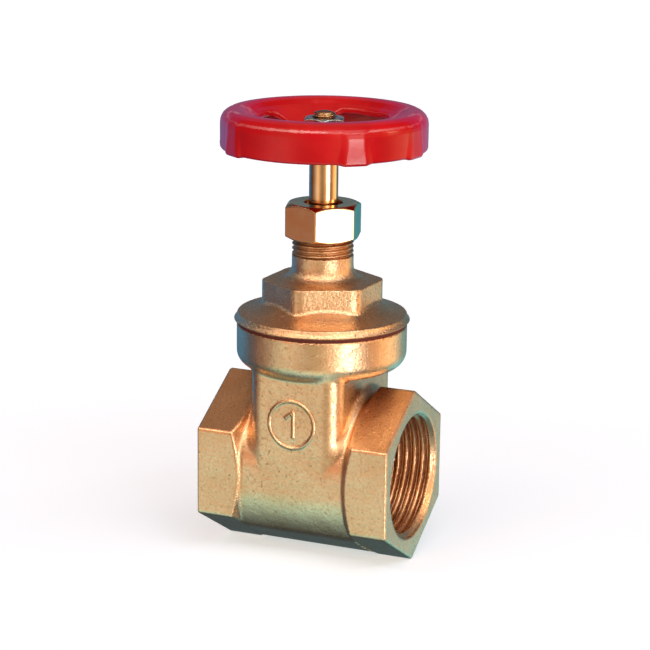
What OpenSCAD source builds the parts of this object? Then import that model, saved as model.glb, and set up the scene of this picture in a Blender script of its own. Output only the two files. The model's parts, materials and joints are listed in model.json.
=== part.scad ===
// Brass gate valve with G 1 female ends, a non-rising stem and a lobed handwheel.
// The origin is on the stem's axis, level with the lowest corner of the end hexagons.
// +X runs along the pipe to the outlet, +Z runs up the stem, and -Y carries the size mark.
// Heights named in this file are measured from the pipe's axis; raised() lifts each part.
// Threads are drawn as rings of equal pitch. Crests clear the mating bores, so parts can turn.

/* [Pipe ends] */
// Length over the two end faces
face_to_face = 53; // [52:0.5:56]
// Width across flats of the end hexagons
end_af = 40; // [39.5:0.5:44]
// Length of each end hexagon's flats
end_l = 11.5; // [10:0.5:12]
// Minor diameter of the inlet's thread, 30.291 to 30.931 by the thread's standard
inlet_minor_d = 30.291; // [30.291:0.001:30.4]
// Minor diameter of the outlet's thread, inside the same limits
outlet_minor_d = 30.611; // [30.6:0.001:30.7]
// Pitch of the pipe thread
port_pitch = 2.309; // [2:0.001:2.4]
// Number of thread turns in each end
port_turns = 5; // [3:1:5]

/* [Body] */
// Bore through the two seats
seat_d = 22.4; // [20:0.1:23]
// Diameter of the upper barrel, between the end hexagons; the column's depth cuts it flat
barrel_d = 38.6; // [38.5:0.1:39]
// Depth of the rounded underside below the pipe's axis
keel_depth = 22; // [21:0.5:22.5]
// Depth of the body and column, across the pipe
column_d = 38.4; // [38:0.2:39.6]
// Width of the column, along the pipe
column_w = 25.4; // [24:0.2:26]
// Corner radius of the column
column_r = 4.5; // [3:0.5:9]
// Diameter of the body's top flange
flange_d = 44.4; // [43:0.2:46]
// Height of the flange's top face
flange_z = 38.4; // [38:0.1:39]
// Overall thickness of the flange
flange_t = 11; // [9:0.5:12]
// Radius of the flange's rounded lower edge
flange_r = 4; // [2:0.5:4.5]
// Diameter of the raised ring around the size mark
mark_d = 13.4; // [10:0.2:15]
// Height of the middle of the size mark
mark_z = 15.6; // [12:0.2:17]

/* [Gate] */
// Diameter of the gate disc
gate_d = 25.6; // [24.5:0.1:26]
// Thickness of the wedge at the pipe's axis
gate_t = 13; // [12:0.1:13.4]
// Taper of each face of the wedge
gate_taper = 4; // [3:0.5:4.5]
// Diameter of the threaded hub on top of the disc
hub_d = 14.4; // [13:0.1:14.8]
// Height of the hub's top with the valve shut
hub_z = 20.5; // [19:0.1:21]

/* [Bonnet] */
// Thickness of the gasket under the bonnet
gasket_t = 0.8; // [0.5:0.1:1]
// Diameter of the bonnet's flange
cap_d = 44; // [42:0.2:44.4]
// Width across flats of the bonnet's hexagon
cap_af = 28; // [26:0.5:29]
// Height of the top of the hexagon
cap_hex_z = 50.1; // [49:0.1:50.5]
// Diameter of the neck and of its thread
neck_d = 16; // [15.6:0.1:17]
// Pitch of the neck's thread
neck_pitch = 1.25; // [1:0.05:1.5]
// Diameter of the screwed skirt that enters the body
skirt_d = 31.1; // [30.5:0.1:31.5]

/* [Gland] */
// Width across flats of the packing nut
gland_af = 18; // [17.5:0.5:20]
// Height of the packing nut's lower face
gland_z = 60.9; // [60:0.1:61.2]
// Height of the packing nut itself
gland_h = 9.4; // [9:0.1:10]
// Bore of the packing space
packing_d = 11.2; // [10.6:0.1:11.6]
// Height of one packing ring
packing_h = 2.2; // [2:0.1:2.3]

/* [Stem] */
// Diameter of the stem through the packing
stem_d = 7.5; // [7:0.1:8]
// Diameter of the stem's lifting thread
lift_d = 8; // [7.5:0.1:8.2]
// Axial travel of the gate for one turn of the stem
lift_lead = 4; // [3:0.5:5]
// Diameter of the thrust collar
collar_d = 12.6; // [11:0.1:12.8]
// Diameter of the thread at the tip of the stem
tip_d = 6; // [5:0.1:6]
// Height of the tip of the stem
tip_z = 94; // [93.5:0.1:95]

/* [Handwheel] */
// Diameter between the lobes
wheel_d = 53.2; // [52:0.2:60]
// Pairs of lobes round the skirt
lobe_pairs = 3; // [2:1:4]
// Angle between the two lobes of a pair
lobe_step = 48.5; // [40:0.5:60]
// How far a lobe stands out at the bottom of the skirt
lobe_rise = 1; // [0.5:0.1:2]
// Direction of the first lobe, from +X
lobe_turn = 70; // [0:1:119]
// Height of the lower edge of the skirt
wheel_z = 84; // [83:0.1:84.4]
// Height of the top of the rim
wheel_top_z = 94.4; // [94:0.1:95.5]
// Thickness of the pressed sheet
sheet_t = 1.5; // [1:0.1:1.6]
// Number of openings in the dish
wheel_openings = 3; // [2:1:4]
// Direction of the middle of the first opening, from +X
opening_turn = 71; // [0:1:119]
// Width across flats of the wheel's nut
wheel_nut_af = 10; // [9:0.5:10.5]

/* [Hidden] */
$fn = 96;
cut = 0.1;                                    // overlap of a cutter beyond a face
gap = 0.05;                                   // running clearance on a radius or a face
end_x = face_to_face / 2;                     // from the stem's axis to an end face
end_ac = end_af / cos(30);                    // across corners of the end hexagons
pipe_z = end_ac / 2;                          // height of the pipe's axis over the origin
port_major_d = 33.249;                        // roots of the pipe thread
port_l = port_turns * port_pitch;
port_runout = 0.5;                            // plain bore beyond the last turn
port_mouth = 2;                               // radial size of the mouth's chamfer
mouth_half = 0.42;                            // half width of a groove's mouth over pitch
root_half = 0.06;                             // half width of a groove's root over pitch
male_depth = 0.55;                            // depth of a male groove over pitch
edge_break = 0.4;                             // broken edges of turned and cast parts
pocket_y = gate_d / 2 + 0.5;                  // half depth of the gate's pocket
pocket_x = gate_t / 2 + 0.03;                 // half width of the pocket at the pipe's axis
pocket_top_z = flange_z - 8.9;                // where the bonnet's bore starts
rib_w = 3;                                    // guide rib in the pocket
rib_y = gate_d / 2 - 1.2;
rib_bottom_z = -6;
keel_top_z = 1;
collar_slope = 30;                            // inner side of an end, from the square face
mark_h = 0.4;
mark_w = 0.7;
numeral_w = 0.95;
skirt_bottom_z = flange_z - 7.9;
cap_z = flange_z + gasket_t;                  // underside of the bonnet's flange
cap_rim_h = 2.2;
cap_rim_w = 2.2;                              // flat ledge outside the cone
cap_cone_z = cap_z + 5.4;
cap_corner_d = 31.4;                          // the bonnet's hexagon is rounded to this
cap_turn = -2.5;                              // how far each tightened nut stands round
gland_turn = 12;
wheel_nut_turn = 20;
neck_fillet = 3.8;
neck_thread_z = 57;
neck_top_z = 66;
neck_chamfer = 0.6;
skirt_pitch = 1.5;
bell_r = gate_d / 2 + 0.2;                    // the bonnet's wide lower bore
bell_top_z = cap_z;
throat_d = hub_d + 2;                         // the bonnet's narrower bore above it
ring_z = 46.2;                                // underside of the stem's retaining ring
ring_t = 2.8;
ring_d = 15;
collar_z = ring_z + ring_t;
collar_t = 2.9;
thrust_t = 1;
shoulder_z = collar_z + collar_t + thrust_t + 2 * gap;
box_z = shoulder_z + 1.6;                     // floor of the packing space
base_t = 0.8;
packing_n = 3;
packing_top_z = box_z + base_t + packing_n * packing_h;
gland_plate_t = 1.4;
gland_ceiling_z = gland_z + gland_h - gland_plate_t;
gland_mouth_d = 10;
stem_bottom_z = 13.2;
lift_top_z = 45.5;
square_z = wheel_z + 1;                       // shoulder under the handwheel
square_w = 6;
stem_chamfer = 0.9;
tip_pitch = 1;
washer_t = 0.8;
washer_d = 12;
wheel_nut_z = square_z + sheet_t + washer_t;
wheel_nut_h = 5;
dish_r = 7.5;                                 // flat of the handwheel under its washer
dish_top_r = 19.5;                            // where the dish meets the rim
rim_round = 3.5;                              // rounding of the rim's outer edge
lip_w = 2.5;                                  // slope between the dish and the rim's top
lip_h = 2.1;
lobe_r = 6;                                   // radius of a lobe's rounded crest
lobe_straight_h = 3;                          // height up to which the lobes stand full
opening_r = 14;                               // pitch radius of the openings
opening_w = 8;
opening_end_r = 9;                            // bow of an opening's ends
brass = "#c8975a";
machined = "#d9a760";
red = "#c01820";
zinc = "#a9adb0";
fibre = "#5c1f1a";
white = "#e8e6df";

// ---------- shapes used by several parts ----------

// Lifts a part drawn around the pipe's axis to its height over the origin
module raised() {
    translate([0, 0, pipe_z]) children();
}

// Places a shape drawn from an end face inwards: side 0 is the inlet, side 1 the outlet
module at_end(side) {
    mirror([side, 0, 0]) translate([-end_x, 0, 0]) children();
}

// A cylinder between two heights
module rod(d, z0, z1) {
    translate([0, 0, z0]) cylinder(d = d, h = z1 - z0);
}

// A cylinder along X, from x0 to x1
module rod_x(d, x0, x1) {
    translate([x0, 0, 0]) rotate([0, 90, 0]) cylinder(d = d, h = x1 - x0);
}

// A plain ring between two heights
module ring(d_out, d_in, z0, z1) {
    difference() {
        rod(d_out, z0, z1);
        rod(d_in, z0 - cut, z1 + cut);
    }
}

// A hexagon between two heights, with a flat facing X
module hex(af, z0, z1) {
    translate([0, 0, z0]) rotate(30) cylinder(d = af / cos(30), h = z1 - z0, $fn = 6);
}

// Points of a quarter circle or less, from angle a0 to a1
function arc(cx, cy, r, a0, a1, steps = 6) =
    [for (i = [0:steps]) let (a = a0 + (a1 - a0) * i / steps) [cx + r * cos(a), cy + r * sin(a)]];

// Ring grooves cut into a male thread of diameter d
module male_grooves(d, pitch, z0, z1) {
    root = d / 2 - pitch * male_depth;
    for (z = [z0 + pitch / 2 : pitch : z1 - pitch / 2])
        rotate_extrude()
            polygon([[d / 2 + cut, z - pitch * mouth_half], [d / 2 + cut, z + pitch * mouth_half],
                     [root, z + pitch * root_half], [root, z - pitch * root_half]]);
}

// Two cones base to base, to intersect with a nut's hexagon and chamfer its corners
module nut_chamfers(af, z0, z1) {
    face_share = 0.97;
    face_r = af / 2 * face_share;
    half_h = (z1 - z0) / 2;
    rotate_extrude()
        polygon([[0, z0], [face_r, z0], [face_r + half_h / tan(30), z0 + half_h],
                 [face_r, z1], [0, z1]]);
}

// ---------- body ----------

module rounded_plan(w, d, r) {
    square([w, d - 2 * r], center = true);
    square([w - 2 * r, d], center = true);
    for (x = [-1, 1], y = [-1, 1])
        translate([x * (w / 2 - r), y * (d / 2 - r)]) circle(r);
}

// One end hexagon, its inner side falling away as a cone towards the barrel
module end_hexagon() {
    outer_r = end_ac / 2 + cut;
    corner_l = end_l - (end_ac - end_af) / 2 * tan(collar_slope);
    root_r = barrel_d / 2 - 0.5;
    root_l = end_l + (end_af / 2 - root_r) * tan(collar_slope);
    intersection() {
        rotate([0, 90, 0]) cylinder(d = end_ac, h = root_l, $fn = 6);
        rotate([0, 90, 0]) rotate_extrude()
            polygon([[0, 0], [outer_r - cut - edge_break, 0], [outer_r, edge_break + cut],
                     [outer_r, corner_l - cut * tan(collar_slope)], [root_r, root_l], [0, root_l]]);
    }
}

// The threaded opening of one end, from its face inwards
module port_bore(minor_d) {
    minor_r = minor_d / 2;
    mouth = port_pitch * mouth_half;
    root = port_pitch * root_half;
    rod_x(minor_d, -cut, port_l + port_runout);
    rotate([0, 90, 0]) {
        translate([0, 0, -cut])
            cylinder(r1 = minor_r + port_mouth + cut, r2 = minor_r - cut, h = port_mouth + 2 * cut);
        for (i = [0 : port_turns - 1])
            translate([0, 0, (i + 0.5) * port_pitch])
                rotate_extrude()
                    polygon([[minor_r - cut, -mouth], [port_major_d / 2, -root],
                             [port_major_d / 2, root], [minor_r - cut, mouth]]);
    }
}

// The wedge-shaped space for the gate, drawn around the stem's axis
module wedge_space(half_w, z0, z1) {
    rotate([90, 0, 0])
        linear_extrude(height = 2 * pocket_y + 2, center = true)
            polygon([[-half_w - z0 * tan(gate_taper), z0], [half_w + z0 * tan(gate_taper), z0],
                     [half_w + z1 * tan(gate_taper), z1], [-half_w - z1 * tan(gate_taper), z1]]);
}

module gate_pocket() {
    rib_l = 10;
    difference() {
        intersection() {
            wedge_space(pocket_x, -pocket_y, pocket_top_z + cut);
            union() {
                rod_x(2 * pocket_y, -end_x, end_x);
                translate([-end_x, -pocket_y, 0])
                    cube([2 * end_x, 2 * pocket_y, pocket_top_z + cut]);
            }
        }
        for (side = [-1, 1])
            translate([-rib_w / 2, side * (rib_y + rib_l / 2) - rib_l / 2, rib_bottom_z])
                cube([rib_w, rib_l, pocket_top_z - rib_bottom_z - cut]);
    }
}

// Raised ring and numeral 1, the nominal size, on the -Y face
module size_mark() {
    sunk = 0.3;
    bar_h = mark_d / 2 + 0.1;
    flag_l = 2.9;
    flag_turn = 215;
    translate([0, -column_d / 2 + sunk, mark_z]) rotate([90, 0, 0])
        linear_extrude(mark_h + sunk) {
            difference() {
                circle(d = mark_d);
                circle(d = mark_d - 2 * mark_w);
            }
            translate([numeral_w / 2, 0]) square([numeral_w, bar_h], center = true);
            translate([numeral_w - 0.05, bar_h / 2 - 0.05]) rotate(flag_turn) square([flag_l, numeral_w]);
        }
}

module flange_shape() {
    z0 = flange_z - flange_t;
    rotate_extrude()
        polygon(concat([[0, z0]], arc(flange_d / 2 - flange_r, z0 + flange_r, flange_r, -90, 0),
                       [[flange_d / 2, flange_z], [0, flange_z]]));
}

module body_outside() {
    barrel_x = end_x - end_l;
    keel_x = barrel_x + 1;
    keel_z = column_d / 2 - keel_depth;
    for (side = [0, 1]) at_end(side) end_hexagon();
    intersection() {
        rod_x(barrel_d, -barrel_x, barrel_x);
        cube([2 * end_x, column_d, barrel_d + 2], center = true);
    }
    translate([0, 0, keel_z]) rod_x(column_d, -keel_x, keel_x);
    translate([-keel_x, -column_d / 2, keel_z]) cube([2 * keel_x, column_d, keel_top_z - keel_z]);
    linear_extrude(flange_z - 1) rounded_plan(column_w, column_d, column_r);
    flange_shape();
    size_mark();
}

module valve_body() {
    color(brass) raised() difference() {
        body_outside();
        at_end(0) port_bore(inlet_minor_d);
        at_end(1) port_bore(outlet_minor_d);
        rod_x(seat_d, port_l - end_x, end_x - port_l);
        gate_pocket();
        rod(skirt_d + 2 * gap, pocket_top_z, flange_z + cut);
    }
}

// ---------- bonnet ----------

module bonnet_gasket() {
    color(fibre) raised() ring(flange_d - 0.4, skirt_d + 0.4, flange_z, cap_z);
}

module bonnet_outside() {
    rod(skirt_d, skirt_bottom_z, cap_z + cut);
    rotate_extrude()
        polygon([[0, cap_z], [cap_d / 2, cap_z], [cap_d / 2, cap_z + cap_rim_h - edge_break],
                 [cap_d / 2 - edge_break, cap_z + cap_rim_h],
                 [cap_d / 2 - cap_rim_w, cap_z + cap_rim_h],
                 [cap_af / 2 + edge_break, cap_cone_z], [0, cap_cone_z]]);
    intersection() {
        rotate(cap_turn) hex(cap_af, cap_z, cap_hex_z);
        rod(cap_corner_d, cap_z, cap_hex_z);
    }
    rotate_extrude()
        polygon(concat([[0, cap_hex_z - cut], [neck_d / 2 + neck_fillet, cap_hex_z - cut]],
                       arc(neck_d / 2 + neck_fillet, cap_hex_z + neck_fillet, neck_fillet, -90, -180),
                       [[neck_d / 2, neck_top_z - neck_chamfer],
                        [neck_d / 2 - neck_chamfer, neck_top_z], [0, neck_top_z]]));
}

module bonnet() {
    color(brass) raised() difference() {
        bonnet_outside();
        male_grooves(skirt_d, skirt_pitch, skirt_bottom_z, cap_z - skirt_pitch);
        male_grooves(neck_d, neck_pitch, neck_thread_z, neck_top_z - neck_chamfer);
        rod(2 * bell_r, skirt_bottom_z - cut, bell_top_z);
        rod(throat_d, bell_top_z - cut, ring_z);
        rod(ring_d + 2 * gap, ring_z - cut, collar_z);
        rod(collar_d + 0.4, collar_z - cut, shoulder_z);
        rod(stem_d + 2 * gap, shoulder_z - cut, box_z + cut);
        rod(packing_d, box_z, neck_top_z + cut);
    }
}

// A screwed ring that holds the stem's collar up in the bonnet; two slots take its key
module stem_retaining_ring() {
    slot_w = 1.6;
    slot_h = 0.8;
    color(machined) raised() difference() {
        ring(ring_d, lift_d + 4 * gap, ring_z, collar_z);
        translate([-ring_d, -slot_w / 2, ring_z - cut]) cube([2 * ring_d, slot_w, slot_h + cut]);
    }
}

module thrust_washer() {
    z0 = collar_z + collar_t + gap + gap / 2;
    color(white) raised() ring(collar_d, stem_d + 0.3, z0, z0 + thrust_t);
}

// ---------- gland ----------

module packing_base_washer() {
    color(machined) raised() ring(packing_d - 0.2, stem_d + 0.3, box_z, box_z + base_t);
}

module packing_ring(index) {
    z0 = box_z + base_t + index * packing_h;
    color(white) raised() ring(packing_d - 2 * gap, stem_d + 2 * gap, z0, z0 + packing_h);
}

module packing_ring_lower() { packing_ring(0); }
module packing_ring_middle() { packing_ring(1); }
module packing_ring_upper() { packing_ring(2); }

module gland_follower() {
    color(machined) raised()
        ring(packing_d - 4 * gap, stem_d + 2 * gap, packing_top_z, gland_ceiling_z - gap);
}

module packing_nut() {
    top_z = gland_z + gland_h;
    color(machined) raised() difference() {
        intersection() {
            rotate(gland_turn) hex(gland_af, gland_z, top_z);
            nut_chamfers(gland_af, gland_z, top_z);
        }
        rod(neck_d + 2 * gap, gland_z - cut, gland_ceiling_z);
        rod(gland_mouth_d, gland_ceiling_z - cut, top_z + cut);
        translate([0, 0, gland_z - cut])
            cylinder(d1 = neck_d + 2 * neck_chamfer + 2 * cut, d2 = neck_d, h = neck_chamfer + cut);
        translate([0, 0, top_z - edge_break])
            cylinder(d1 = gland_mouth_d, d2 = gland_mouth_d + 2 * edge_break + 2 * cut,
                     h = edge_break + cut);
    }
}

// ---------- moving parts ----------

module stem() {
    color(machined) raised() difference() {
        union() {
            rod(lift_d, stem_bottom_z + stem_chamfer, collar_z + cut);
            translate([0, 0, stem_bottom_z])
                cylinder(d1 = lift_d - 2 * stem_chamfer, d2 = lift_d, h = stem_chamfer);
            rod(collar_d, collar_z + gap, collar_z + gap + collar_t);
            rod(stem_d, collar_z, square_z);
            intersection() {
                rod(stem_d, square_z - cut, square_z + sheet_t - gap);
                translate([-square_w / 2, -square_w / 2, 0]) cube([square_w, square_w, tip_z]);
            }
            rod(tip_d, square_z, tip_z - stem_chamfer);
            translate([0, 0, tip_z - stem_chamfer])
                cylinder(d1 = tip_d, d2 = tip_d - 2 * stem_chamfer, h = stem_chamfer);
        }
        male_grooves(lift_d, lift_lead / 2, stem_bottom_z + stem_chamfer, lift_top_z);
        male_grooves(tip_d, tip_pitch, wheel_nut_z - 2 * gap, tip_z - stem_chamfer);
    }
}

module gate_wedge() {
    blind_z = stem_bottom_z - gate_d / 2 - seat_d / 2 - edge_break;
    slot_w = rib_w + 8 * gap;
    slot_y = rib_y - 4 * gap;
    color(brass) raised() difference() {
        union() {
            intersection() {
                wedge_space(gate_t / 2, -gate_d / 2 - 1, gate_d / 2 + 1);
                rod_x(gate_d, -gate_t, gate_t);
            }
            rod(hub_d, gate_d / 4, hub_z);
        }
        rod(lift_d + 2 * gap, blind_z, hub_z + cut);
        for (side = [-1, 1])
            translate([-slot_w / 2, side * (slot_y + gate_d / 2) - gate_d / 2, -gate_d])
                cube([slot_w, gate_d, 2 * gate_d]);
    }
}

// ---------- handwheel ----------

// Plan of the skirt: a circle with rounded lobes, drawn smaller by the inset
module lobed_plan(inset) {
    circle(d = wheel_d - 2 * inset);
    for (k = [0 : lobe_pairs - 1], step = [0, lobe_step])
        rotate(lobe_turn + k * 360 / lobe_pairs + step)
            translate([wheel_d / 2 + lobe_rise - lobe_r, 0]) circle(lobe_r - inset);
}

// Solid of revolution under the pressed sheet's upper side, lowered by the drop
module wheel_envelope(drop, inset, z0) {
    rim_r = wheel_d / 2 - rim_round + 2 * cut;
    outer_r = wheel_d / 2 + lobe_rise + 1;
    top = wheel_top_z - drop;
    dish_top = dish_top_r + inset / 2;
    floor_z = square_z + sheet_t - drop;
    rotate_extrude()
        polygon(concat([[0, z0], [outer_r, z0], [outer_r, wheel_z + lobe_straight_h - drop]],
                       arc(rim_r, top - rim_round + inset / 2, rim_round - inset / 2, 0, 90),
                       [[dish_top + lip_w, top], [dish_top, top - lip_h], [dish_r, floor_z],
                        [0, floor_z]]));
}

// A curved opening between two spokes: part of a ring, with bowed ends
module dish_opening() {
    linear_extrude(wheel_top_z) intersection() {
        difference() {
            circle(opening_r + opening_w / 2);
            circle(opening_r - opening_w / 2);
        }
        translate([opening_r + 1, 0]) circle(opening_end_r);
    }
}

module handwheel() {
    color(red) raised() difference() {
        intersection() {
            translate([0, 0, wheel_z]) linear_extrude(wheel_top_z - wheel_z) lobed_plan(0);
            wheel_envelope(0, 0, wheel_z - cut);
        }
        intersection() {
            translate([0, 0, wheel_z - 1]) linear_extrude(wheel_top_z - wheel_z) lobed_plan(sheet_t);
            wheel_envelope(sheet_t, sheet_t, wheel_z - 2);
        }
        for (k = [0 : wheel_openings - 1])
            rotate(opening_turn + k * 360 / wheel_openings) dish_opening();
        intersection() {
            rod(stem_d + 2 * gap, wheel_z, wheel_top_z);
            translate([-square_w / 2 - gap, -square_w / 2 - gap, 0])
                cube([square_w + 2 * gap, square_w + 2 * gap, wheel_top_z]);
        }
    }
}

module handwheel_washer() {
    color(zinc) raised() ring(washer_d, tip_d + edge_break, square_z + sheet_t, wheel_nut_z);
}

module handwheel_nut() {
    color(zinc) raised() difference() {
        intersection() {
            rotate(wheel_nut_turn) hex(wheel_nut_af, wheel_nut_z, wheel_nut_z + wheel_nut_h);
            nut_chamfers(wheel_nut_af, wheel_nut_z, wheel_nut_z + wheel_nut_h);
        }
        rod(tip_d + 2 * gap, wheel_nut_z - cut, wheel_nut_z + wheel_nut_h + cut);
    }
}

valve_body();
bonnet_gasket();
bonnet();
stem_retaining_ring();
thrust_washer();
packing_base_washer();
packing_ring_lower();
packing_ring_middle();
packing_ring_upper();
gland_follower();
packing_nut();
stem();
gate_wedge();
handwheel();
handwheel_washer();
handwheel_nut();
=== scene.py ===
"""Looks of a brass gate valve with a red lobed handwheel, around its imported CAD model.

Shapes are written as distance fields: functions of x, y and z that give the distance to a surface,
in millimetres and negative inside. mesh_piece() turns one into a closed mesh in the shared frame.
In the fields, z is measured from the pipe's axis, as the valve's drawings do.
"""
import json
import math

import bpy
import numpy as np
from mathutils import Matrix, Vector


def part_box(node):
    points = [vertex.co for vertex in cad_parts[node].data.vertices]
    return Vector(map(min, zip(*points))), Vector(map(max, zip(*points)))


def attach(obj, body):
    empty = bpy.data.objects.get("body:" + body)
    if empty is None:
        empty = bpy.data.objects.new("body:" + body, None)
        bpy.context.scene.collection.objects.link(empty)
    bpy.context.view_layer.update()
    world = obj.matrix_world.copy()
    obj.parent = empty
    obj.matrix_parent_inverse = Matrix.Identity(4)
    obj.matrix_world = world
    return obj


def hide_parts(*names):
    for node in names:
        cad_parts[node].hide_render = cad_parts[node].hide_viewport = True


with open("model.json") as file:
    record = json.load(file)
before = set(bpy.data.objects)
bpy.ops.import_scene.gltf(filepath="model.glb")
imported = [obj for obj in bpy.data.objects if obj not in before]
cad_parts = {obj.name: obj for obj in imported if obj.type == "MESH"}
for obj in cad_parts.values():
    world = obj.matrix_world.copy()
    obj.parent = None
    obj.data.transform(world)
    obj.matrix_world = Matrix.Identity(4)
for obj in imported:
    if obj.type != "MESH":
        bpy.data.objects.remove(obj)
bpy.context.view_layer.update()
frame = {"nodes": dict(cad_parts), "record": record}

import openvdb
from mathutils import Matrix, Vector

MM = 0.001
BLOCK = 4                      # grid cells along one side of a sampled block
COARSE = 1.0

# ---------- sizes from the frame ----------

MOUNTS = {mount["name"]: mount for mount in frame["record"]["mounts"]}
PIPE_Z = MOUNTS["outlet"]["pos_m"][2] / MM


def span(node):
    """Lowest and highest corner of a CAD node in mm, with z from the pipe's axis."""
    low, high = (np.array(corner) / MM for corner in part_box(node))
    return low - (0, 0, PIPE_Z), high - (0, 0, PIPE_Z)


BODY_HIGH = span("valve_body")[1]
END_X = BODY_HIGH[0]                                      # pipe end face
END_FLAT = -MOUNTS["outlet_wrench_flat"]["pos_m"][1] / MM  # half across flats of an end
FLANGE_R = BODY_HIGH[1]
FLANGE_Z = BODY_HIGH[2]
CAP_LOW, CAP_HIGH = span("bonnet")
CAP_Z = span("bonnet_gasket")[1][2]                       # underside of the bonnet's flange
GLAND_LOW, GLAND_HIGH = span("packing_nut")
STEM_LOW, STEM_HIGH = span("stem")
WHEEL_LOW, WHEEL_HIGH = span("handwheel")
NUT_LOW, NUT_HIGH = span("handwheel_nut")
WASHER_Z = span("handwheel_washer")[0][2]                 # upper side of the wheel's flat
RING_LOW, RING_HIGH = span("stem_retaining_ring")
PACKING_R = span("packing_ring_lower")[1][0] + 0.05
PACKING_FLOOR_Z = span("packing_base_washer")[0][2]
GLAND_TOP_Z = span("gland_follower")[1][2] + 0.05         # ceiling inside the packing nut

# ---------- fields ----------


def join(a, b, fillet):
    """Both shapes, with a fillet where they meet."""
    near = np.hypot(np.maximum(fillet - a, 0), np.maximum(fillet - b, 0))
    return np.maximum(fillet, np.minimum(a, b)) - near


def common(a, b, edge):
    """What two shapes share, with its edge rounded."""
    near = np.hypot(np.maximum(edge + a, 0), np.maximum(edge + b, 0))
    return np.minimum(-edge, np.maximum(a, b)) + near


def cut(a, b, edge):
    """The first shape less the second, with its edge rounded."""
    return common(a, -b, edge)


def soft_max(a, b, width):
    """The larger of two values, for surfaces that meet at a slight angle."""
    share = np.maximum(width - np.abs(a - b), 0) / width
    return np.maximum(a, b) + share * share * width / 4


def between(value, low, high):
    return np.maximum(low - value, value - high)


def smooth_step(value):
    value = np.clip(value, 0, 1)
    return value * value * (3 - 2 * value)


def turned(x, y, degrees):
    c, s = math.cos(math.radians(degrees)), math.sin(math.radians(degrees))
    return x * c + y * s, y * c - x * s


def hexagon(x, y, flat, corner):
    """A hexagon in plan with a flat facing x; flat is half its width across flats."""
    slant = math.sqrt(0.75)
    a = np.abs(x) - flat
    b = np.abs(x / 2 + y * slant) - flat
    c = np.abs(x / 2 - y * slant) - flat
    return common(common(a, b, corner), c, corner)


def groove(along, angle, r, crest_r, root_r, pitch):
    """A right-handed helical V groove from a crest radius to a root radius."""
    mouth, root = 0.42 * pitch, 0.07 * pitch
    depth, run = abs(root_r - crest_r), mouth - root
    outward = 1 if root_r > crest_r else -1
    off = np.abs((along / pitch - angle / math.tau) % 1 - 0.5) * pitch
    flank = (depth * (off - mouth) + run * outward * (r - crest_r)) / math.hypot(depth, run)
    return common(flank, outward * (r - root_r), 0.1 * pitch)


def nut_blank(x, y, z, flat, low, high, turn, edge):
    """A hexagon nut's outside, its corners turned back by a 30 degree cone at each end."""
    r = np.hypot(x, y)
    middle, half = (low + high) / 2, (high - low) / 2
    side = hexagon(*turned(x, y, turn), flat, edge)
    rise = half - np.abs(z - middle)
    cone = (r - 0.97 * flat) / 2 - rise * math.cos(math.radians(30))
    return common(common(side, -rise, edge), cone, edge)


# ---------- meshing ----------


def sample(field, low, high, voxel):
    """Values of a field on a grid, worked out cell by cell only near the surface."""
    side = BLOCK * voxel
    counts = [int(math.ceil((h - l) / side)) for l, h in zip(low, high)]
    starts = [l + side * np.arange(n) for l, n in zip(low, counts)]
    cx, cy, cz = (start + side / 2 for start in starts)
    coarse = field(cx[:, None, None], cy[None, :, None], cz[None, None, :]) + np.zeros(counts)
    near = np.argwhere(np.abs(coarse) < side * 1.2)
    steps = voxel * np.arange(BLOCK)
    x, y, z = ((starts[i][near[:, i], None] + steps).astype(np.float32) for i in range(3))
    fine = field(x[:, :, None, None], y[:, None, :, None], z[:, None, None, :])
    values = np.clip(coarse, -side, side).astype(np.float32)
    for axis in range(3):
        values = np.repeat(values, BLOCK, axis)
    cells = values.reshape(counts[0], BLOCK, counts[1], BLOCK, counts[2], BLOCK)
    cells[near[:, 0], :, near[:, 1], :, near[:, 2], :] = fine
    return values


def slope_of(field, points, reach=0.02):
    """Slope of a field at some points."""
    slopes = np.zeros_like(points)
    for axis in range(3):
        shift = np.zeros(3)
        shift[axis] = reach
        ahead, behind = (points + shift).T, (points - shift).T
        slopes[:, axis] = (field(*ahead) - field(*behind)) / (2 * reach)
    return slopes


def settle(field, points, limit):
    """Moves points onto the field's surface; returns them with their outward normals."""
    for _ in range(3):
        slopes = slope_of(field, points)
        step = field(*points.T) / np.maximum((slopes ** 2).sum(1), 0.25)
        points = points - slopes * np.clip(step, -limit, limit)[:, None]
    slopes = slope_of(field, points)
    return points, slopes / np.maximum(np.linalg.norm(slopes, axis=1), 1e-9)[:, None]


def fill_mesh(mesh, points, triangles, quads, normals):
    """Writes vertices, faces and normals into a mesh."""
    corners = np.concatenate([triangles.ravel(), quads.ravel()]).astype(np.int32)
    sizes = np.concatenate([np.full(len(triangles), 3), np.full(len(quads), 4)]).astype(np.int32)
    mesh.vertices.add(len(points))
    mesh.vertices.foreach_set("co", points.astype(np.float32).ravel())
    mesh.loops.add(len(corners))
    mesh.loops.foreach_set("vertex_index", corners)
    mesh.polygons.add(len(sizes))
    mesh.polygons.foreach_set("loop_start", (np.cumsum(sizes) - sizes).astype(np.int32))
    mesh.polygons.foreach_set("use_smooth", np.ones(len(sizes), bool))
    mesh.update(calc_edges=True)
    mesh.normals_split_custom_set_from_vertices(normals.astype(np.float32))


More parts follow.
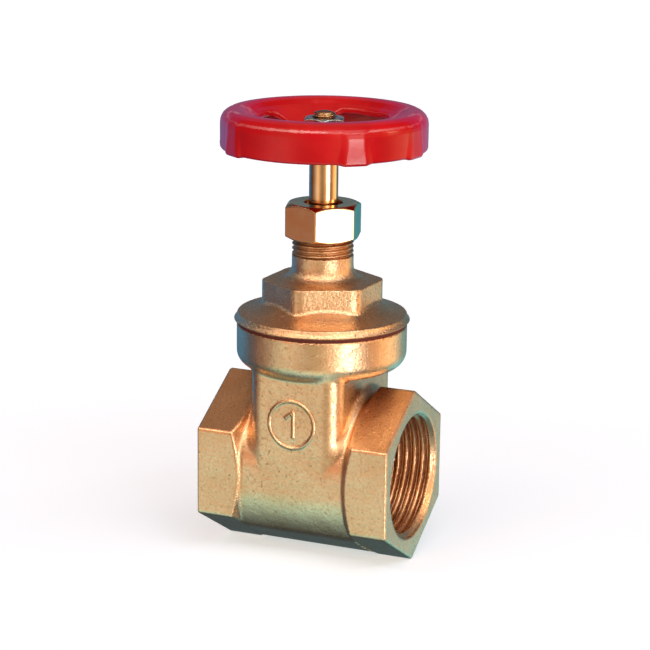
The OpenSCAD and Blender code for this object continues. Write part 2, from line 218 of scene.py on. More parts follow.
def mesh_piece(name, field, box, voxel):
    """A closed mesh of a field's surface, as an object in the shared frame."""
    voxel *= COARSE
    low, high = box[0] - 2.5 * voxel, box[1] + 2.5 * voxel
    grid = openvdb.FloatGrid(BLOCK * voxel)
    grid.copyFromArray(sample(field, low, high, voxel))
    points, triangles, quads = grid.convertToPolygons()
    points, normals = settle(field, low + points.astype(float) * voxel, voxel * 0.4)
    first = quads[:, :3] if len(quads) else triangles
    a, b, c = (points[first[:, i]] for i in range(3))
    if (np.cross(b - a, c - a) * normals[first[:, 0]]).sum() < 0:
        triangles, quads = triangles[:, ::-1], quads[:, ::-1]
    mesh = bpy.data.meshes.new(name)
    fill_mesh(mesh, (points + (0, 0, PIPE_Z)) * MM, triangles, quads, normals)
    piece = bpy.data.objects.new(name, mesh)
    bpy.context.scene.collection.objects.link(piece)
    return piece


# ---------- body ----------

EDGE = 0.5                     # rounding of cast edges
COLLAR_IN_X = 14.9             # inner side of an end, at the middle of a flat
COLLAR_SLOPE = math.radians(60)   # how steeply that side falls to the barrel
BARREL_R = 19.6                # a little more than the half depth, so that the valleys run out
BODY_HALF = 19.2               # half depth of the body's front and back panels
KEEL_Z = -2.8                  # middle of the rounded underside
COLUMN_HALF_W = 12.7
COLUMN_R = 4.5
FLANGE_T = 11.0
FLANGE_EDGE = 4.0              # rounding of the flange's lower edge
MARK_R = 6.2                   # ring of the size mark
MARK_Z = 15.6
MARK_LINE = 0.36               # half width of its raised line
PORT_PITCH = 2.309             # 11 turns per inch
PORT_MAJOR_R = 16.62
PORT_L = 5 * PORT_PITCH
PORT_MOUTH = 1.4               # depth of the chamfer at the mouth
SEAT_R = 11.2                  # bore between the seats
POCKET_HALF_Y = 13.3
POCKET_HALF_X = 6.53
POCKET_SLOPE = math.tan(math.radians(4))
POCKET_TOP_Z = FLANGE_Z - 8.9
SKIRT_BORE_R = 15.6


def pipe_end(x, y, z):
    """Both end hexagons, each falling away as a cone towards the barrel."""
    facets = hexagon(y, z, END_FLAT, EDGE)
    block = common(facets, np.abs(x) - END_X, EDGE)
    fall = np.hypot(y, z) - END_FLAT
    cone = fall * math.cos(COLLAR_SLOPE) - (np.abs(x) - COLLAR_IN_X) * math.sin(COLLAR_SLOPE)
    return common(block, cone, EDGE)


def barrel(x, y, z):
    """The middle of the body: flat front and back, rounded on top and underneath."""
    below = np.hypot(y, np.minimum(z - KEEL_Z, 0)) - BODY_HALF
    above = np.hypot(y, np.maximum(z, 0)) - BARREL_R
    section = common(soft_max(below, above, 0.6), hexagon(y, z, END_FLAT + 0.3, 1.2), 0.6)
    corner = np.maximum(np.hypot(y, z) - END_FLAT, 0) / math.tan(COLLAR_SLOPE)
    return np.maximum(section, np.abs(x) - COLLAR_IN_X - 0.5 - corner)


def column(x, y, z):
    """The upright housing of the gate; its foot fades into the barrel."""
    across = np.abs(x) - COLUMN_HALF_W + COLUMN_R
    deep = np.abs(y) - BODY_HALF + COLUMN_R
    outside = np.hypot(np.maximum(across, 0), np.maximum(deep, 0))
    plan = outside + np.minimum(np.maximum(across, deep), 0) - COLUMN_R
    fade = 0.03 * smooth_step(-z / 2.5)
    return np.maximum(plan + fade, between(z, KEEL_Z, FLANGE_Z - 3))


def flange(x, y, z):
    r = np.hypot(x, y)
    rounded = common(r - FLANGE_R, FLANGE_Z - FLANGE_T - z, FLANGE_EDGE)
    return common(rounded, z - FLANGE_Z, 0.25)


def stroke(x, z, start, end):
    """Distance from a straight stroke on the front panel."""
    dx, dz = end[0] - start[0], end[1] - start[1]
    share = np.clip(((x - start[0]) * dx + (z - start[1]) * dz) / (dx * dx + dz * dz), 0, 1)
    return np.hypot(x - start[0] - share * dx, z - start[1] - share * dz)


def size_mark(x, y, z):
    """A raised ring with the numeral 1 in it."""
    up = z - MARK_Z
    ring = np.abs(np.hypot(x, up) - MARK_R)
    stem = stroke(x, up, (0.45, -3.3), (0.45, 3.4))
    flag = stroke(x, up, (0.45, 3.4), (-1.6, 1.7))
    line = np.minimum(ring, np.minimum(stem, flag))
    return np.hypot(line, y + BODY_HALF) - MARK_LINE


def port(x, y, z, side):
    """The threaded opening of one end, as a space; side is 1 at the outlet, -1 at the inlet."""
    minor_r = MOUNTS["outlet" if side > 0 else "inlet"]["dims"]["r_mm"]
    r = np.hypot(y, z)
    inwards = END_X - side * x
    turns = groove(x, np.arctan2(z, y), r, minor_r, PORT_MAJOR_R, PORT_PITCH)
    turns = np.maximum(turns, inwards - PORT_L + 0.2)
    bore = join(r - minor_r, turns, 0.12)
    mouth = (r - minor_r - PORT_MOUTH + inwards) / math.sqrt(2)
    return common(join(bore, mouth, 0.15), inwards - PORT_L - 0.5, 0.3)


def gate_pocket(x, y, z):
    """The wedge-shaped space for the gate, with a guide rib on each side."""
    wedge = np.abs(x) - POCKET_HALF_X - z * POCKET_SLOPE
    around = np.hypot(y, np.minimum(z, 0)) - POCKET_HALF_Y
    rib = np.maximum(np.abs(x) - 1.5, np.maximum(11.6 - np.abs(y), -6 - z))
    space = common(common(wedge, around, 0.8), z - POCKET_TOP_Z - 1, 0.1)
    return np.maximum(space, -rib)


def body_field(x, y, z):
    upright = join(column(x, y, z), flange(x, y, z), 0.8)
    # the fillet between column and barrel grows with height, from almost none at the pipe's axis
    valley = 1.8 * smooth_step((z - 4) / 6) + 2.2 * smooth_step((z - 12) / 8) + 0.01
    middle = join(upright, barrel(x, y, z), valley)
    outside = join(pipe_end(x, y, z), middle, 0.8 - 0.6 * smooth_step((-z - 8) / 6))
    outside = join(outside, size_mark(x, y, z), 0.25)
    space = np.minimum(port(x, y, z, 1), port(x, y, z, -1))
    space = np.minimum(space, np.hypot(y, z) - SEAT_R)
    space = np.minimum(space, gate_pocket(x, y, z))
    bore = np.maximum(np.hypot(x, y) - SKIRT_BORE_R, POCKET_TOP_Z - z)
    return cut(outside, np.minimum(space, bore), 0.2)


# ---------- bonnet ----------

CAP_R = CAP_HIGH[1]
CAP_FLAT = 14.0                # half across flats of the bonnet's hexagon
CAP_CORNER_R = 15.7            # its corners are turned down to this
CAP_HEX_Z = 50.1               # its top
CAP_CONE_Z = CAP_Z + 5.4       # top of the cone under it
CAP_RIM_H = 2.2
CAP_TURN = -2.5                # degrees the hexagon stands off square
NECK_R = 8.0
NECK_FILLET = 3.8
NECK_PITCH = 1.25
NECK_THREAD_Z = 56.6           # where the neck's thread starts
NECK_DEPTH = 0.74
SKIRT_R = 15.55
SKIRT_PITCH = 1.5
BELL_R = 13.0
THROAT_R = 8.2
COLLAR_BORE_R = 6.5
COLLAR_TOP_Z = 53.05
STEM_BORE_R = 3.8


def bonnet_outside(x, y, z):
    r = np.hypot(x, y)
    top = CAP_HIGH[2]
    rim = common(r - CAP_R, between(z, CAP_Z, CAP_Z + CAP_RIM_H), 0.4)
    rise = CAP_CONE_Z - CAP_Z - CAP_RIM_H
    run = CAP_R - 2.4 - CAP_FLAT
    cone = ((z - CAP_CONE_Z) * run + (r - CAP_FLAT) * rise) / math.hypot(rise, run)
    cone = common(np.maximum(cone, CAP_Z + 0.5 - z), z - CAP_CONE_Z - 0.3, 0.5)
    facets = hexagon(*turned(x, y, CAP_TURN), CAP_FLAT, 0.5)
    block = common(common(facets, r - CAP_CORNER_R, 0.5), between(z, CAP_Z, CAP_HEX_Z), 0.5)
    neck = common(r - NECK_R, between(z, CAP_Z, top), 0.6)
    turns = groove(z, np.arctan2(y, x), r, NECK_R, NECK_R - NECK_DEPTH, NECK_PITCH)
    neck = cut(neck, np.maximum(turns, NECK_THREAD_Z - z), 0.07)
    skirt = common(r - SKIRT_R, between(z, CAP_LOW[2], CAP_Z + 1), 0.4)
    rings = groove(z, np.arctan2(y, x), r, SKIRT_R, SKIRT_R - 0.8, SKIRT_PITCH)
    skirt = cut(skirt, np.maximum(rings, z - CAP_Z + 1.2), 0.1)
    shape = join(join(join(rim, cone, 1.5), block, 0.9), neck, NECK_FILLET)
    return np.minimum(shape, skirt)


def bonnet_field(x, y, z):
    r = np.hypot(x, y)
    top, bottom = CAP_HIGH[2] + 1, CAP_LOW[2] - 1
    space = np.maximum(r - BELL_R, between(z, bottom, CAP_Z))
    for bore_r, low, high in (
        (THROAT_R, bottom, RING_LOW[2]),
        (RING_HIGH[0] + 0.05, bottom, RING_HIGH[2]),
        (COLLAR_BORE_R, bottom, COLLAR_TOP_Z),
        (STEM_BORE_R, bottom, top),
        (PACKING_R, PACKING_FLOOR_Z, top),
    ):
        space = np.minimum(space, np.maximum(r - bore_r, between(z, low, high)))
    return cut(bonnet_outside(x, y, z), space, 0.15)


# ---------- packing nut, stem, handwheel nut ----------

GLAND_FLAT = 9.0               # half across flats of the packing nut
GLAND_TURN = 12                # degrees it stands off square
GLAND_MOUTH_R = 5.0            # hole round the stem
STEM_R = 3.75
LIFT_R = 4.0                   # lifting thread
LIFT_TOP_Z = 45.5
COLLAR_R = STEM_HIGH[0]
COLLAR_Z = RING_HIGH[2] + 0.05
COLLAR_T = 2.9
SQUARE_HALF = 3.0              # half across the square that drives the wheel
TIP_R = 3.0
TIP_PITCH = 1.0
WHEEL_NUT_FLAT = 5.0
WHEEL_NUT_TURN = 20


def packing_nut_field(x, y, z):
    r = np.hypot(x, y)
    low, high = GLAND_LOW[2], GLAND_HIGH[2]
    blank = nut_blank(x, y, z, GLAND_FLAT, low, high, GLAND_TURN, 0.2)
    bore = np.maximum(r - NECK_R - 0.05, between(z, low - 1, GLAND_TOP_Z))
    mouth = np.maximum(r - GLAND_MOUTH_R, between(z, low, high + 1))
    lead = (r - NECK_R - 0.7 + z - low) / math.sqrt(2)
    space = np.minimum(np.minimum(bore, mouth), np.maximum(lead, z - GLAND_TOP_Z))
    return cut(blank, space, 0.25)


def stem_field(x, y, z):
    r = np.hypot(x, y)
    angle = np.arctan2(y, x)
    lift = common(r - LIFT_R, between(z, STEM_LOW[2], COLLAR_Z + 0.2), 0.5)
    threads = groove(z, angle, r, LIFT_R, LIFT_R - 1.1, 2.0)
    lift = cut(lift, np.maximum(threads, z - LIFT_TOP_Z), 0.12)
    collar = common(r - COLLAR_R, between(z, COLLAR_Z, COLLAR_Z + COLLAR_T), 0.2)
    shoulder_z = WASHER_Z - 1.5
    rod = common(r - STEM_R, between(z, COLLAR_Z, shoulder_z), 0.15)
    flats = np.maximum(np.abs(x), np.abs(y)) - SQUARE_HALF
    square = common(common(r - STEM_R, flats, 0.1), between(z, shoulder_z - 1, WASHER_Z - 0.05), 0.1)
    dome = z - STEM_HIGH[2] + 0.07 * r * r
    tip = common(r - TIP_R, np.maximum(dome, shoulder_z - z), 0.5)
    turns = groove(z, angle, r, TIP_R, TIP_R - 0.55, TIP_PITCH)
    tip = cut(tip, np.maximum(turns, WASHER_Z + 0.6 - z), 0.06)
    shape = np.minimum(np.minimum(lift, collar), np.minimum(rod, square))
    return np.minimum(shape, tip)


def wheel_nut_field(x, y, z):
    r = np.hypot(x, y)
    low, high = NUT_LOW[2], NUT_HIGH[2]
    blank = nut_blank(x, y, z, WHEEL_NUT_FLAT, low, high, WHEEL_NUT_TURN, 0.15)
    bore = r - TIP_R - 0.05
    middle, half = (low + high) / 2, (high - low) / 2
    lead = (r - TIP_R - 0.5 + half - np.abs(z - middle)) / math.sqrt(2)
    return cut(blank, np.minimum(bore, lead), 0.1)


# ---------- handwheel ----------

TABS = (-50, -7, 70, 113, 190, 233)   # directions of the skirt's six tabs
WHEEL_R = 26.6
TAB_HALF = 3.0                 # half width of a tab's flat face, at the lower edge
TAB_R = 26.95                  # from the axis to that face, at the lower edge
TAB_TOP_HALF = 2.2
TAB_TOP_R = WHEEL_R + 0.15
TAB_H = 6.5                    # height over which a tab widens
WAVE = 0.4                     # how far the lower edge rises between two tabs
SHEET = 1.5                    # thickness of the pressed steel
RIM_R = 2.75                   # radius of the sheet's middle where skirt turns into rim
DISH_R = 7.5                   # flat middle of the dish
DISH_TOP_R = 19.8
OPENING_R = 14.0               # middle of an opening, from the axis
OPENING_HALF = 4.0             # half its width
OPENING_END_R = 9.0            # how far it reaches along the dish
OPENING_TURN = 71


def rim_profile():
    """Middle line of the pressed sheet, from the skirt's lower edge to the centre."""
    low, high = WHEEL_LOW[2] + SHEET / 2, WHEEL_HIGH[2] - SHEET / 2
    skirt_r = WHEEL_R - SHEET / 2
    points = [(skirt_r, low)]
    for degrees in range(0, 91, 18):
        a = math.radians(degrees)
        points.append((skirt_r - RIM_R + RIM_R * math.cos(a), high - RIM_R + RIM_R * math.sin(a)))
    floor_z = WASHER_Z - SHEET / 2
    points += [(DISH_TOP_R + 2.2, high), (DISH_TOP_R + 1.2, high - 0.4), (DISH_TOP_R, high - 1.5)]
    points += [(DISH_R + 5, floor_z + 1.9), (DISH_R + 1.5, floor_z + 0.3), (DISH_R, floor_z)]
    points.append((0, floor_z))
    return points


def tabs(x, y, low_share):
    """How far outwards the tabs push the skirt, and a share that is 1 on a tab, 0 between two."""
    push, share = 0, 0
    half = TAB_TOP_HALF + (TAB_HALF - TAB_TOP_HALF) * low_share
    face_r = TAB_TOP_R + (TAB_R - TAB_TOP_R) * low_share
    for turn in TABS:
        u, v = turned(x, y, turn)
        side = smooth_step((half + 1.8 - np.abs(v)) / 2.4) * (u > 0)
        push = np.maximum(push, side * (np.hypot(x, y) - u + face_r - WHEEL_R))
        share = np.maximum(share, side)
    return push, share


def wheel_field(x, y, z):
    lower = WHEEL_LOW[2]
    height = WHEEL_HIGH[2] - lower
    push, on_tab = tabs(x, y, smooth_step((lower + TAB_H - z) / TAB_H))
    plan_r = np.hypot(x, y)
    r = plan_r - push * smooth_step((WHEEL_HIGH[2] - z) / 2.5)
    lift = WAVE * (1 - on_tab)
    up = np.where(z > WHEEL_HIGH[2], z, lower + (z - lower - lift) * height / (height - lift))
    sheet = None
    profile = rim_profile()
    for start, end in zip(profile, profile[1:]):
        piece = stroke(r, up, start, end)
        sheet = piece if sheet is None else np.minimum(sheet, piece)
    sheet = sheet - SHEET / 2
    for turn in (0, 120, 240):
        u, v = turned(x, y, OPENING_TURN + turn)
        ends = np.hypot(u - OPENING_R - 1, v) - OPENING_END_R
        hole = common(np.abs(plan_r - OPENING_R) - OPENING_HALF, ends, 1.6)
        sheet = cut(sheet, hole, 0.55)
    square = common(np.maximum(np.abs(x), np.abs(y)) - SQUARE_HALF - 0.05, plan_r - STEM_R - 0.05, 0.1)
    return np.maximum(sheet, -square)


# ---------- materials ----------


class Paint:
    """A node material whose nodes are added one call at a time."""

    def __init__(self, name):
        self.material = bpy.data.materials.new(name)
        self.material.use_nodes = True
        self.tree = self.material.node_tree
        self.surface = self.tree.nodes["Principled BSDF"]
        place = self.add("ShaderNodeTexCoord").outputs["Object"]
        scaled = {0: place, "Scale": 1 / MM}
        self.place = self.add("ShaderNodeVectorMath", {"operation": "SCALE"}, scaled).outputs[0]

    def add(self, kind, settings=None, inputs=None):
        made = self.tree.nodes.new(kind)
        for key, value in (settings or {}).items():
            setattr(made, key, value)
        for key, value in (inputs or {}).items():
            self.feed(made.inputs[key], value)
        return made

    def feed(self, socket, value):
        if isinstance(value, bpy.types.NodeSocket):
            self.tree.links.new(value, socket)
        else:
            socket.default_value = value

    def math(self, operation, a, b):
        made = self.add("ShaderNodeMath", {"operation": operation}, {0: a, 1: b})
        return made.outputs[0]

    def noise(self, scale, detail=4.0, rough=0.55, place=None):
        inputs = {"Vector": place or self.place, "Scale": scale, "Detail": detail, "Roughness": rough}
        return self.add("ShaderNodeTexNoise", None, inputs).outputs["Fac"]

    def spread(self, value, low, high, to_low, to_high):
        inputs = {"Value": value, 1: low, 2: high, 3: to_low, 4: to_high}
        return self.add("ShaderNodeMapRange", None, inputs).outputs[0]

    def mix(self, share, a, b):
        made = self.add("ShaderNodeMix", {"data_type": "RGBA"})
        self.feed(made.inputs[0], share)
        self.feed(made.inputs[6], a)
        self.feed(made.inputs[7], b)
        return made.outputs[2]

    def shade(self, value, low, high, a, b):
        """A colour that goes from a to b while a value goes from low to high."""
        return self.mix(self.spread(value, low, high, 0, 1), a, b)

    def bump(self, height, strength, depth, normal=None):
        inputs = {"Height": height, "Strength": strength, "Distance": depth * MM}
        if normal is not None:
            inputs["Normal"] = normal
        return self.add("ShaderNodeBump", None, inputs).outputs["Normal"]

    def crevice(self, reach):
        """1 in the open, 0 in a tight corner."""
        made = self.add("ShaderNodeAmbientOcclusion", {"samples": 6}, {"Distance": reach * MM})
        return made.outputs["AO"]

    def facing(self):
        """0 where the surface faces the viewer, 1 at its outline."""
        return self.add("ShaderNodeLayerWeight", None, {"Blend": 0.5}).outputs["Facing"]

    def finish(self, **inputs):
        for key, value in inputs.items():
            self.feed(self.surface.inputs[key.replace("_", " ")], value)
        return self.material


def cast_brass(name, grain_depth):
    """Shot-blasted brass: a fine grain, uneven colour and dark pits, with painted shade in its corners
    and deep hollows.
    """
    paint = Paint(name)
    broad = paint.noise(0.12, 3)
    grain = paint.noise(1.5, 3, 0.65)
    pits = paint.spread(paint.noise(0.9, 4, 0.7), 0.60, 0.72, 0, 1)
    colour = paint.shade(broad, 0.35, 0.65, (0.84, 0.56, 0.33, 1), (0.90, 0.65, 0.41, 1))
    colour = paint.mix(paint.spread(grain, 0.50, 0.75, 0, 0.6), colour, (0.62, 0.34, 0.16, 1))
    colour = paint.mix(paint.math("MULTIPLY", pits, 0.55), colour, (0.22, 0.10, 0.05, 1))
    # painted shade: red-brown darkening in tight corners
    colour = paint.shade(paint.crevice(3.5), 0.25, 0.85, (0.50, 0.20, 0.07, 1), colour)
    # painted shade: darker red-brown deep in the bore and other wide hollows
    colour = paint.shade(paint.crevice(16.0), 0.15, 0.55, (0.34, 0.13, 0.07, 1), colour)
    rough = paint.spread(grain, 0.3, 0.7, 0.24, 0.40)
    height = paint.math("SUBTRACT", grain, paint.math("MULTIPLY", pits, 0.5))
    normal = paint.bump(height, 0.7, grain_depth, paint.bump(broad, 0.5, 0.5))
    return paint.finish(Base_Color=colour, Metallic=1.0, Roughness=rough, Normal=normal)


def machined_brass(name, outline_shade_share):
    """Turned brass: bright, with fine tool marks round the stem's axis, painted shade in its corners
    and an optional painted red-brown shade at its outline.
    """
    paint = Paint(name)
    split = paint.add("ShaderNodeSeparateXYZ", None, {0: paint.place})
    marks = paint.add("ShaderNodeCombineXYZ", None, {"Z": split.outputs["Z"]}).outputs[0]
    rings = paint.noise(9.0, 2, 0.7, marks)
    broad = paint.noise(0.25, 3)
    colour = paint.shade(broad, 0.35, 0.65, (0.86, 0.58, 0.30, 1), (0.90, 0.66, 0.38, 1))
    # painted shade: darker in tight corners
    colour = paint.shade(paint.crevice(1.5), 0.3, 0.8, (0.30, 0.13, 0.05, 1), colour)
    # painted shade: red-brown towards the outline, seen from wherever the camera stands
    edge = paint.spread(paint.facing(), 0.35, 0.75, 0, outline_shade_share)
    colour = paint.mix(edge, colour, (0.42, 0.14, 0.07, 1))
    rough = paint.spread(broad, 0.3, 0.7, 0.12, 0.20)
    normal = paint.bump(rings, 0.35, 0.02)
    return paint.finish(Base_Color=colour, Metallic=1.0, Roughness=rough, Normal=normal)


def red_enamel():
    """Thick glossy red enamel, faintly uneven, with a painted mauve reflection at its outline and
    painted shade in the hollows.
    """
    paint = Paint("red_enamel")
    broad = paint.noise(0.1, 3)
    peel = paint.noise(0.55, 2, 0.4)
    colour = paint.shade(broad, 0.35, 0.65, (0.46, 0.003, 0.008, 1), (0.56, 0.006, 0.012, 1))
    # painted reflection: mauve towards the outline, standing in for a blue reflection over the red
    edge = paint.spread(paint.facing(), 0.45, 0.85, 0, 0.5)
    colour = paint.mix(edge, colour, (0.50, 0.03, 0.30, 1))
    # painted shade: near black-red in the hollows and openings of the dish
    colour = paint.shade(paint.crevice(7.0), 0.15, 0.75, (0.12, 0.001, 0.006, 1), colour)
    normal = paint.bump(peel, 0.12, 0.05, paint.bump(broad, 0.25, 0.5))
    return paint.finish(Base_Color=colour, Roughness=0.3, Normal=normal, Specular_IOR_Level=0.05,
                        Coat_Weight=0.7, Coat_Roughness=0.04, Coat_Normal=normal,
                        Sheen_Weight=0.14, Sheen_Roughness=0.3, Sheen_Tint=(1.0, 0.25, 0.6, 1))


def zinc_steel():
    """Zinc-plated steel with the blue and straw tints of its passivation, and painted shade in its
    corners.
    """
    paint = Paint("zinc_steel")
    broad = paint.noise(0.35, 3)
    grain = paint.noise(3.5, 3)
    colour = paint.shade(broad, 0.4, 0.6, (0.46, 0.64, 0.72, 1), (0.74, 0.78, 0.76, 1))
    # painted shade: dark in tight corners
    colour = paint.shade(paint.crevice(1.0), 0.3, 0.8, (0.10, 0.11, 0.12, 1), colour)
    rough = paint.spread(grain, 0.3, 0.7, 0.18, 0.32)
    normal = paint.bump(grain, 0.3, 0.02)
    return paint.finish(Base_Color=colour, Metallic=1.0, Roughness=rough, Normal=normal)


def gasket_fibre():
    """Pressed fibre sheet, dark red-brown."""
    paint = Paint("gasket_fibre")
    fibres = paint.noise(2.2, 4, 0.7)
    colour = paint.shade(fibres, 0.3, 0.7, (0.075, 0.008, 0.006, 1), (0.17, 0.022, 0.016, 1))
    normal = paint.bump(fibres, 0.6, 0.08)
    return paint.finish(Base_Color=colour, Roughness=0.7, Normal=normal)


def packing_white():
    """Plaited white packing, slightly waxy."""
    paint = Paint("packing_white")
    plait = paint.noise(1.6, 3)
    colour = paint.shade(plait, 0.3, 0.7, (0.62, 0.60, 0.54, 1), (0.82, 0.81, 0.77, 1))
    normal = paint.bump(plait, 0.5, 0.15)
    return paint.finish(Base_Color=colour, Roughness=0.55, Normal=normal)


PAINTS = {
    "cast_brass": cast_brass("cast_brass", 0.11),
    "bonnet_brass": cast_brass("bonnet_brass", 0.22),
    "machined_brass": machined_brass("machined_brass", 0.0),
    # the stem's copy of machined brass, with painted shade at its outline
    "stem_brass_shaded_outline": machined_brass("stem_brass_shaded_outline", 0.85),
    "red_enamel": red_enamel(),
    "zinc_steel": zinc_steel(),
    "gasket_fibre": gasket_fibre(),
    "packing_white": packing_white(),
}


def paint_object(piece, paint):
    piece.data.materials.clear()
    piece.data.materials.append(PAINTS[paint])


# ---------- pieces ----------


def stand_in(name, node, body, slot, field, voxel, paint=None):
    """Builds a piece that is shown instead of one CAD node, meshed inside that node's box."""
    piece = mesh_piece(name, field, span(node), voxel)
    paint_object(piece, paint or slot)
    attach(piece, body)
    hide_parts(node)


def keep_node(node, slot):
    """Keeps a CAD node as it is, with its own finish."""
    piece = frame["nodes"][node]
    paint_object(piece, slot)


stand_in("body_casting", "valve_body", "housing", "cast_brass", body_field, 0.52)
stand_in("bonnet_casting", "bonnet", "housing", "cast_brass", bonnet_field, 0.33, "bonnet_brass")
stand_in("gland_nut", "packing_nut", "gland_nut", "machined_brass", packing_nut_field, 0.16)
stand_in("spindle", "stem", "stem_and_wheel", "machined_brass", stem_field, 0.19, "stem_brass_shaded_outline")
stand_in("wheel", "handwheel", "stem_and_wheel", "red_enamel", wheel_field, 0.31)
stand_in("wheel_nut", "handwheel_nut", "stem_and_wheel", "zinc_steel", wheel_nut_field, 0.12)

for node, slot in (
    ("bonnet_gasket", "gasket_fibre"), ("stem_retaining_ring", "machined_brass"),
    ("thrust_washer", "packing_white"), ("packing_base_washer", "machined_brass"),
    ("packing_ring_lower", "packing_white"), ("packing_ring_middle", "packing_white"),
    ("packing_ring_upper", "packing_white"), ("gland_follower", "machined_brass"),
    ("gate_wedge", "cast_brass"), ("handwheel_washer", "zinc_steel"),
):
    keep_node(node, slot)


# ---------- studio ----------

FOCAL = 121.85                 # mm on a 36 mm sensor
VIEW_AZIMUTH, VIEW_ELEVATION, VIEW_ROLL = 22.9, 14.3, 0.72
VIEW_DISTANCE = 0.583
VIEW_RIGHT, VIEW_UP = 0.00125, 0.0364   # how far the view's centre is off the pipe's middle
FLOOR_HALF = 6.0


def direction(azimuth, elevation):
    """Unit vector; azimuth is from +X towards +Y, both in degrees."""
    a, e = math.radians(azimuth), math.radians(elevation)
    return Vector((math.cos(a) * math.cos(e), math.sin(a) * math.cos(e), math.sin(e)))


def aim_camera():
    back = direction(VIEW_AZIMUTH - 90, VIEW_ELEVATION)
    level = Vector((0, 0, 1)).cross(back).normalized()
    up = back.cross(level)
    roll = math.radians(VIEW_ROLL)
    right = level * math.cos(roll) + up * math.sin(roll)
    up = back.cross(right)
    camera = bpy.data.objects.new("camera", bpy.data.cameras.new("camera"))
    camera.data.lens = FOCAL
    camera.data.sensor_width = 36
    camera.data.clip_start, camera.data.clip_end = 0.05, 20
    place = Vector((0, 0, PIPE_Z * MM)) + back * VIEW_DISTANCE + right * VIEW_RIGHT + up * VIEW_UP
    turn = Matrix((right, up, back)).transposed().to_4x4()
    camera.matrix_world = Matrix.Translation(place) @ turn
    bpy.context.scene.collection.objects.link(camera)
    bpy.context.scene.camera = camera


def lay_floor():
    """A plain pale floor; it takes shadows but is left out of the metal's reflections."""
    mesh = bpy.data.meshes.new("floor")
    corners = [(x * FLOOR_HALF, y * FLOOR_HALF, 0) for x, y in ((-1, -1), (1, -1), (1, 1), (-1, 1))]
    mesh.from_pydata(corners, [], [(0, 1, 2, 3)])
    floor = bpy.data.objects.new("floor", mesh)
    bpy.context.scene.collection.objects.link(floor)
    paint = Paint("floor")
    colour = paint.mix(paint.noise(0.02, 2), (0.62, 0.76, 0.96, 1), (0.64, 0.78, 0.98, 1))
    mesh.materials.append(paint.finish(Base_Color=colour, Roughness=0.9, Specular_IOR_Level=0.0,
                                       Emission_Color=(1, 1, 1, 1), Emission_Strength=0.48))
    floor.visible_glossy = False
    floor.visible_diffuse = False
    floor.visible_shadow = False


class Sky:
    """World light: soft cards placed by direction, and a plain pale backdrop for the camera."""

    def __init__(self, base):
        world = bpy.data.worlds.new("studio")
        world.use_nodes = True
        bpy.context.scene.world = world
        self.tree = world.node_tree
        self.way = self.tree.nodes.new("ShaderNodeTexCoord").outputs["Generated"]
        self.total = base

    def node(self, kind, operation, *inputs):
        """Adds a node, each of its inputs fed by another node's output or by a value."""
        made = self.tree.nodes.new(kind)
        made.operation = operation
        for i, value in enumerate(inputs):
            if isinstance(value, bpy.types.NodeSocket):
                self.tree.links.new(value, made.inputs[i])
            else:
                made.inputs[i].default_value = value
        return made

    def along(self, axis):
        """Cosine of the angle between the direction looked in and an axis."""
        made = self.node("ShaderNodeVectorMath", "DOT_PRODUCT", self.way, tuple(axis))
        return made.outputs["Value"]

    def card(self, azimuth, elevation, spread, colour, power):
        """Adds a soft round card of light; spread is its angular size in degrees."""
        self.glow(azimuth, elevation, spread, 0.0, colour, power)

    def glow(self, azimuth, elevation, spread, across, colour, power):
        """Adds light that falls off round a direction, and with across, off an arc through it."""
        facing = self.along(direction(azimuth, elevation))
        past = self.node("ShaderNodeMath", "SUBTRACT", facing, 1.0).outputs[0]
        fall = self.node("ShaderNodeMath", "MULTIPLY", past, 1 / math.radians(spread) ** 2).outputs[0]
        fall = self.node("ShaderNodeMath", "SUBTRACT", fall, across).outputs[0]
        share = self.node("ShaderNodeMath", "POWER", math.e, fall).outputs[0]
        tint = self.node("ShaderNodeVectorMath", "SCALE", tuple(c * power for c in colour))
        self.tree.links.new(share, tint.inputs["Scale"])
        self.total = self.node("ShaderNodeVectorMath", "ADD", self.total, tint.outputs[0]).outputs[0]

    def strip(self, axis, height, thin, middle, colour, power):
        """Adds a thin arc of light round an axis, strongest at middle: azimuth, elevation, spread."""
        off = self.node("ShaderNodeMath", "SUBTRACT", self.along(axis), height).outputs[0]
        off = self.node("ShaderNodeMath", "DIVIDE", off, thin).outputs[0]
        across = self.node("ShaderNodeMath", "MULTIPLY", off, off).outputs[0]
        azimuth, elevation, spread = middle
        self.glow(azimuth, elevation, spread, across, colour, power)

    def finish(self, backdrop):
        """Lights the scene with the cards; the camera sees the backdrop instead."""
        nodes, links = self.tree.nodes, self.tree.links
        light, pale = nodes["Background"], nodes.new("ShaderNodeBackground")
        links.new(self.total, light.inputs["Color"])
        pale.inputs["Color"].default_value = (*backdrop, 1)
        seen = nodes.new("ShaderNodeLightPath").outputs["Is Camera Ray"]
        mixed = nodes.new("ShaderNodeMixShader")
        links.new(seen, mixed.inputs[0])
        links.new(light.outputs[0], mixed.inputs[1])
        links.new(pale.outputs[0], mixed.inputs[2])
        links.new(mixed.outputs[0], nodes["World Output"].inputs["Surface"])


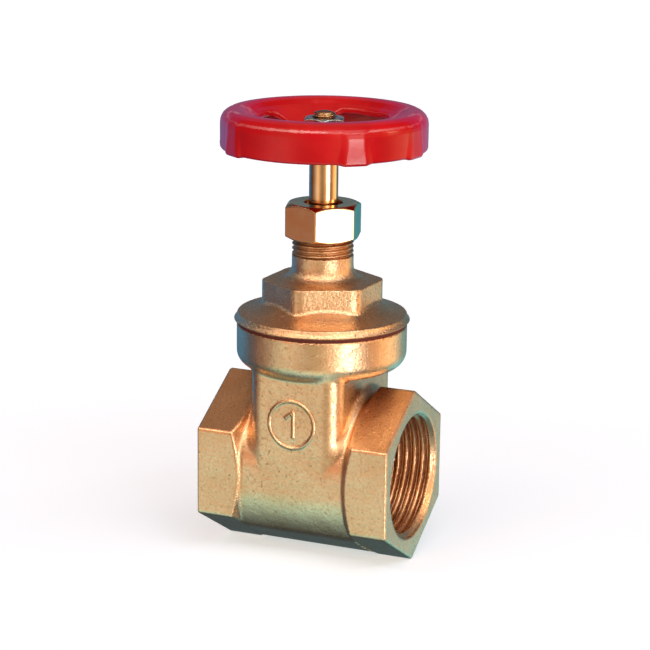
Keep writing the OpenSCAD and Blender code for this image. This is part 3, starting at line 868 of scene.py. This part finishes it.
def light_studio():
    """Warm light from the right and above, with teal behind and below."""
    sky = Sky((0.035, 0.037, 0.045))
    # key: a tall warm window to the right
    sky.card(-31, -14, 6, (1.0, 0.94, 0.90), 12.0)
    sky.card(-33, 8, 8, (1.0, 0.96, 0.86), 2.2)
    sky.card(-45, 20, 14, (1.0, 0.62, 0.30), 1.1)
    sky.card(-32, 53, 14, (1.0, 0.98, 0.90), 2.4)
    sky.card(-52, -12, 8, (1.0, 0.45, 0.20), 0.7)
    sky.card(8, 13, 14, (1.0, 0.30, 0.08), 1.3)
    sky.card(-85, 66, 14, (1.0, 0.20, 0.05), 0.9)
    # fill: from the left, warm above and cooler below
    sky.card(-117, 47, 14, (1.0, 0.71, 0.46), 2.0)
    sky.card(-110, -1, 14, (1.0, 0.42, 0.22), 1.1)
    sky.card(-122, -29, 14, (0.44, 0.93, 0.84), 1.0)
    sky.card(-70, -36, 14, (1.0, 0.85, 0.45), 1.0)
    sky.card(-50, -61, 14, (0.23, 0.80, 1.0), 0.8)
    sky.card(-102, -50, 14, (0.45, 0.80, 1.0), 0.6)
    sky.card(24, -18, 12, (1.0, 0.66, 0.36), 1.2)
    sky.card(43, -14, 9, (1.0, 0.74, 0.46), 1.5)
    sky.card(113, 58, 15, (1.0, 0.62, 0.36), 0.5)
    # rim: teal from behind, a little red from the far left
    sky.card(72, -36, 13, (0.20, 0.84, 1.0), 1.15)
    sky.card(92, -10, 18, (0.05, 0.60, 0.90), 0.35)
    sky.card(148, -6, 18, (0.05, 0.45, 0.90), 0.42)
    sky.card(158, -8, 12, (0.12, 0.40, 1.0), 0.35)
    sky.card(-148, -14, 12, (1.0, 0.22, 0.08), 0.3)
    # gold at the mouth of the open end
    sky.card(13, 13, 5, (1.0, 0.80, 0.42), 6.0)
    # a thin strip that draws the line along the wheel's upper edge
    sky.strip(direction(113, 74), 0.50, 0.022, (-66, 45, 38), (1.0, 0.92, 0.84), 13.0)
    sky.finish((1.0, 1.0, 1.0))


aim_camera()
lay_floor()
light_studio()
bpy.context.scene.view_settings.view_transform = "Standard"
